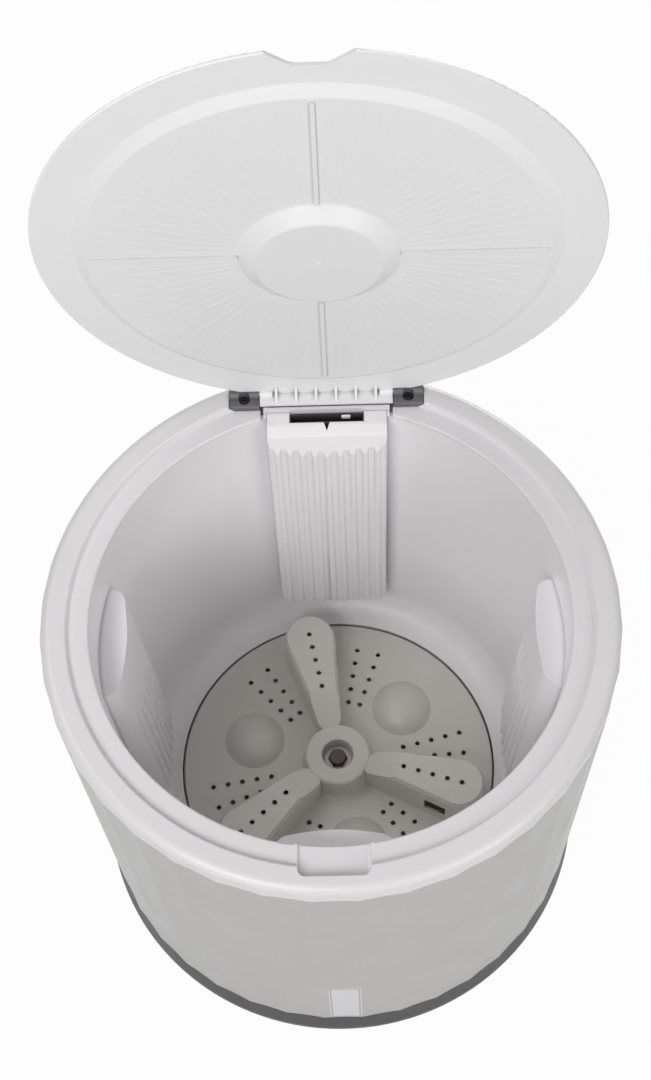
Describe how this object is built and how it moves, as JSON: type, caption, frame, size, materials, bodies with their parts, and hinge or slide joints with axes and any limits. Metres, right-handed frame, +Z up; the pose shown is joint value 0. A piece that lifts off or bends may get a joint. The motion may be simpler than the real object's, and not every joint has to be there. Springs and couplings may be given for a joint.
{
  "type": "portable washing machine",
  "caption": "Round portable top-loading washing machine with a hinged lid swung open, a ribbed tub, a vaned pulsator on a belt drive, and a rear timer.",
  "frame": {"origin": "on the floor under the machine, on the axis of the pulsator, which is the centre of its round plan", "axes": "+Z up along the pulsator axis, front with the finger pocket towards -Y, lid hinge towards +Y, +X to the right as seen from the front"},
  "size_m": [0.4386, 0.4386, 0.808],
  "materials": {
    "casing_white": "moulded, satin",
    "rim_white": "moulded, satin",
    "tub_white": "moulded, smooth",
    "lid_milky": "milky, slightly see-through moulding",
    "pulsator_ivory": "moulded, satin",
    "hinge_grey": "moulded, satin",
    "base_grey": "moulded, matt",
    "dark_grey_plastic": "moulded, matt",
    "knob_white": "moulded, satin",
    "black_rubber": "matt",
    "steel": "zinc plated",
    "die_cast": "as cast",
    "bronze": "sintered",
    "motor_paint": "painted",
    "core_iron": "stacked sheet",
    "capacitor_can": "drawn"
  },
  "bodies": {
    "machine_body": {"outer_casing": "casing_white", "rim_ring": "rim_white", "tub": "tub_white", "rear_duct_cover": "tub_white", "duct_slot_insert": "dark_grey_plastic", "hinge_block_left": "hinge_grey", "hinge_block_right": "hinge_grey", "hinge_pin_left": "steel", "hinge_pin_right": "steel", "hinge_screws": "steel", "shaft_seal": "black_rubber", "bearing_housing": "die_cast", "upper_bush": "bronze", "lower_bush": "bronze", "housing_screws": "steel", "drive_belt": "black_rubber", "motor_shell_lower": "motor_paint", "motor_shell_upper": "motor_paint", "motor_stator": "core_iron", "motor_bushes": "bronze", "motor_bracket": "motor_paint", "motor_screws": "steel", "bracket_grommets": "black_rubber", "bracket_bolts": "steel", "run_capacitor": "capacitor_can", "capacitor_clamp": "steel", "clamp_screw": "steel", "base_tray": "base_grey", "feet": "black_rubber", "pillar_screws": "steel", "base_screws": "steel", "drain_elbow": "dark_grey_plastic", "drain_gasket": "black_rubber", "control_tray": "base_grey", "timer_body": "dark_grey_plastic", "timer_screws": "steel", "cord_gland": "black_rubber", "wiring_harness": "black_rubber"},
    "lid": {"lid_panel": "lid_milky"},
    "pulsator_drive": {"pulsator": "pulsator_ivory", "pulsator_bolt": "steel", "bolt_washer": "steel", "drive_shaft": "steel", "driven_pulley": "die_cast", "pulley_nut": "steel"},
    "motor_rotor_set": {"motor_rotor": "die_cast", "motor_shaft": "steel", "motor_pulley": "die_cast"},
    "timer_dial": {"timer_shaft": "steel", "timer_knob": "knob_white"}
  },
  "joints": [
    {"name": "lid_hinge", "type": "hinge", "parent": "machine_body", "child": "lid", "pos_m": [0, 0.1957, 0.4108], "axis": [1, 0, 0], "range_deg": [0, 88]},
    {"name": "pulsator_spin", "type": "hinge", "parent": "machine_body", "child": "pulsator_drive", "pos_m": [0, 0, 0.1], "axis": [0, 0, 1], "continuous": true},
    {"name": "motor_spin", "type": "hinge", "parent": "machine_body", "child": "motor_rotor_set", "pos_m": [-0.118, 0, 0.05], "axis": [0, 0, 1], "continuous": true},
    {"name": "timer_turn", "type": "hinge", "parent": "machine_body", "child": "timer_dial", "pos_m": [0, 0.205, 0.17], "axis": [0, -1, 0], "range_deg": [0, 300]}
  ],
  "couplings": [
    {"joint": "motor_spin", "follows": "pulsator_spin", "ratio": 4.64}
  ]
}
